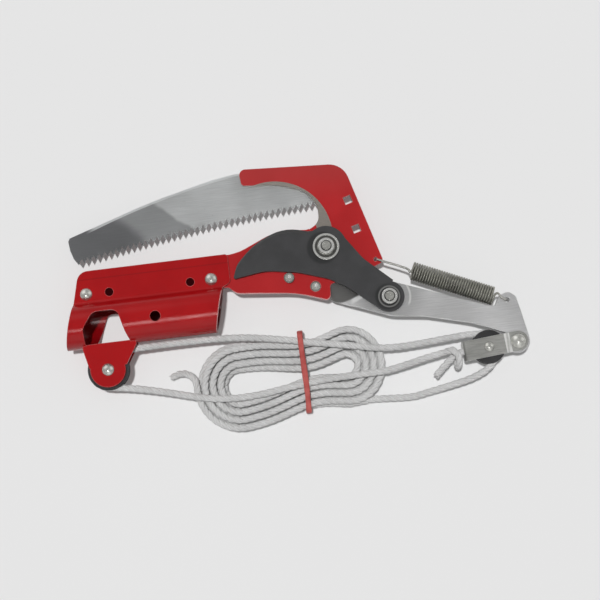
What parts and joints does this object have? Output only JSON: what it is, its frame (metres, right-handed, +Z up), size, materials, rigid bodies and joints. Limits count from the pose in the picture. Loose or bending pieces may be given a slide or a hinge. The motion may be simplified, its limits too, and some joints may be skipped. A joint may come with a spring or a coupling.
{
  "type": "tree pruner head",
  "caption": "Rope-driven bypass pruner head with a pole socket, hook, curved blade, sprung lever, pulleys, packed rope and a pruning saw.",
  "frame": {"origin": "on the pole axis, at the mouth of the pole socket", "axes": "+X along the pole from its socket to the head, +Z up off the table that the tool lies on"},
  "size_m": [0.3125, 0.1772, 0.031],
  "materials": {
    "red_paint": "gloss red enamel on pressed sheet steel",
    "hook_red": "gloss red enamel, ground bright along the mouth",
    "saw_steel": "ground spring steel",
    "black_coat": "satin black non-stick coating",
    "lever_steel": "dull plated steel",
    "zinc": "bright zinc plate",
    "spring_wire": "plated spring wire",
    "strap_steel": "bright plated strip",
    "black_plastic": "moulded black nylon",
    "rope": "white three-strand rope",
    "tie_rubber": "flat red rubber band"
  },
  "bodies": {
    "frame": {"pole_socket": "red_paint", "socket_rivet_left": "zinc", "socket_rivet_right": "zinc", "socket_axle": "zinc", "hook_body": "hook_red", "stop_pin": "zinc", "strip_rivet": "zinc", "saw_blade": "saw_steel", "saw_screw_tip": "zinc", "saw_screw_heel": "zinc", "pivot_bolt": "zinc", "pivot_nut": "zinc", "pivot_washer_front": "zinc", "pivot_washer_rear": "zinc", "return_spring": "spring_wire", "rope_hank": "rope", "rope_socket_bight": "rope", "rope_block_bight": "rope", "rope_becket_run": "rope", "rope_tail": "rope", "hank_tie": "tie_rubber"},
    "cutter": {"cutter_blade": "black_coat", "lever": "lever_steel", "link_bolt": "zinc", "link_nut": "zinc", "swivel_rivet": "strap_steel"},
    "block": {"block_strap": "strap_steel", "block_axle": "strap_steel", "rope_knot": "rope", "rope_bitter_end": "rope"},
    "block_wheel": {"block_sheave": "black_plastic"},
    "socket_wheel": {"socket_sheave": "black_plastic"}
  },
  "joints": [
    {"name": "jaw_pivot", "type": "hinge", "parent": "frame", "child": "cutter", "pos_m": [0.1788, 0.0335, 0], "axis": [0, 0, -1], "range_deg": [0, 52], "stiffness_Nm_per_rad": 0.8, "springref_deg": -22.92, "deforming": ["return_spring", "rope_block_bight", "rope_becket_run"]},
    {"name": "block_swivel", "type": "hinge", "parent": "cutter", "child": "block", "pos_m": [0.3006, -0.0458, 0.0008], "axis": [0, 0, 1], "range_deg": [0, 45], "deforming": ["rope_block_bight", "rope_becket_run"]},
    {"name": "block_sheave_spin", "type": "hinge", "parent": "block", "child": "block_wheel", "pos_m": [0.27996, -0.04739, 0.0008], "axis": [0, 0, 1], "continuous": true},
    {"name": "socket_sheave_spin", "type": "hinge", "parent": "frame", "child": "socket_wheel", "pos_m": [0.0224, -0.0315, 0], "axis": [0, 0, 1], "continuous": true}
  ]
}
